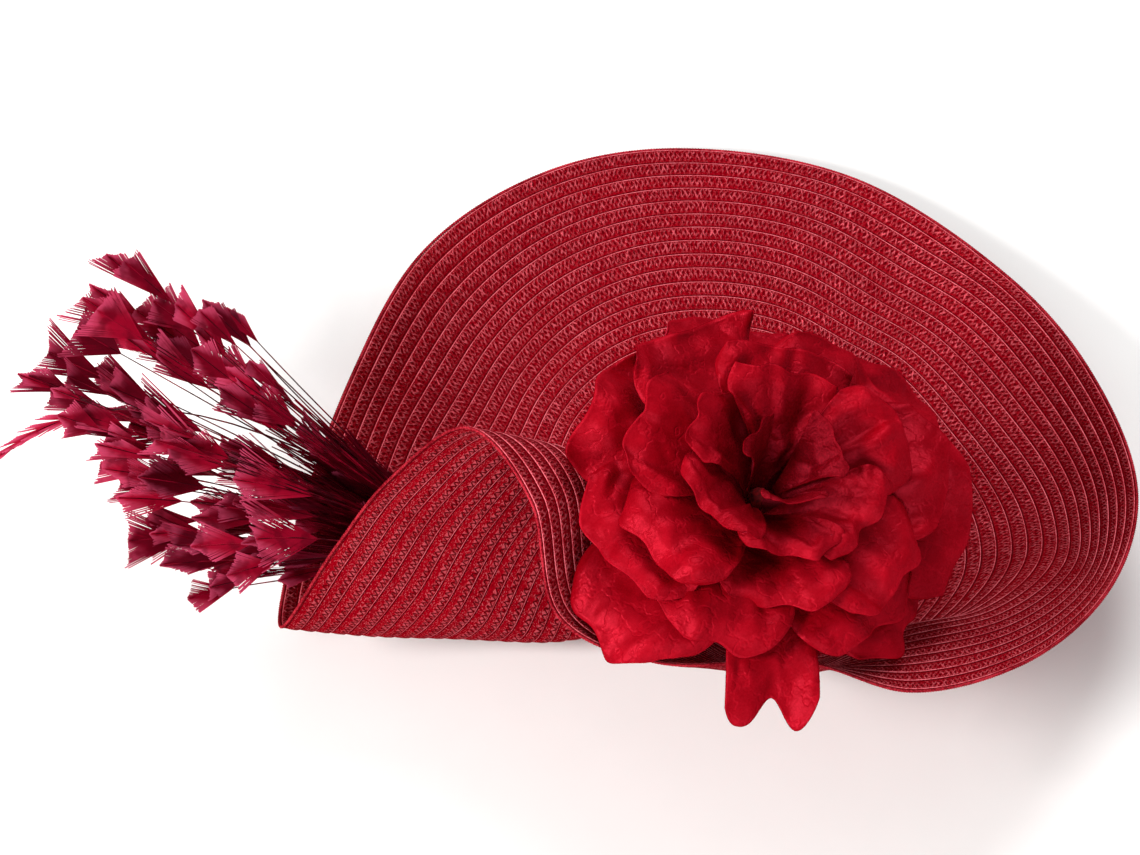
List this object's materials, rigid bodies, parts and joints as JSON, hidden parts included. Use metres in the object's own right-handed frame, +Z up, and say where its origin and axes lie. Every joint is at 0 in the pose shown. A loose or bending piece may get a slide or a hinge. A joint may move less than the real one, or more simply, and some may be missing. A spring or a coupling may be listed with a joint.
{
  "type": "fascinator hat",
  "caption": "Round sewn-braid disc folded into an S with one raised flute, a large cupped fabric flower in the fold and a fan of stripped feathers at one side; a comb under it holds it in the hair.",
  "frame": {"origin": "on the floor, under the middle of the part's bounding box, as the part rests", "axes": "X to the right seen from the open side with the flower, Y away from that side, Z up"},
  "size_m": [0.4784, 0.3528, 0.187],
  "materials": {
    "straw": "shiny plaited synthetic straw braid, sewn in rows",
    "wired_edge": "wire wrapped in braid thread",
    "silk": "satin and organza petals with cut edges",
    "stem_wrap": "matt cloth wrap",
    "feather": "dyed stripped feathers with trimmed tips",
    "comb_plastic": "smooth dark plastic"
  },
  "bodies": {
    "root": {"brim": "straw", "flower_base": "stem_wrap", "flower_button": "stem_wrap", "hair_comb": "comb_plastic", "petal_fourth_front": "silk", "petal_fourth_left": "silk", "petal_fourth_left_low": "silk", "petal_fourth_right": "silk", "petal_fourth_right_low": "silk", "petal_fourth_top": "silk", "petal_heart_front": "silk", "petal_heart_left": "silk", "petal_heart_right": "silk", "petal_outer_bottom": "silk", "petal_outer_left_low": "silk", "petal_outer_left_up": "silk", "petal_outer_right_low": "silk", "petal_outer_right_up": "silk", "petal_outer_top": "silk", "petal_second_left": "silk", "petal_second_left_low": "silk", "petal_second_right": "silk", "petal_second_right_low": "silk", "petal_second_right_up": "silk", "petal_second_top": "silk", "petal_third_front": "silk", "petal_third_left": "silk", "petal_third_left_low": "silk", "petal_third_right": "silk", "petal_third_right_low": "silk", "petal_third_top": "silk", "plume": "feather", "rim_wire": "wired_edge"}
  },
  "joints": []
}
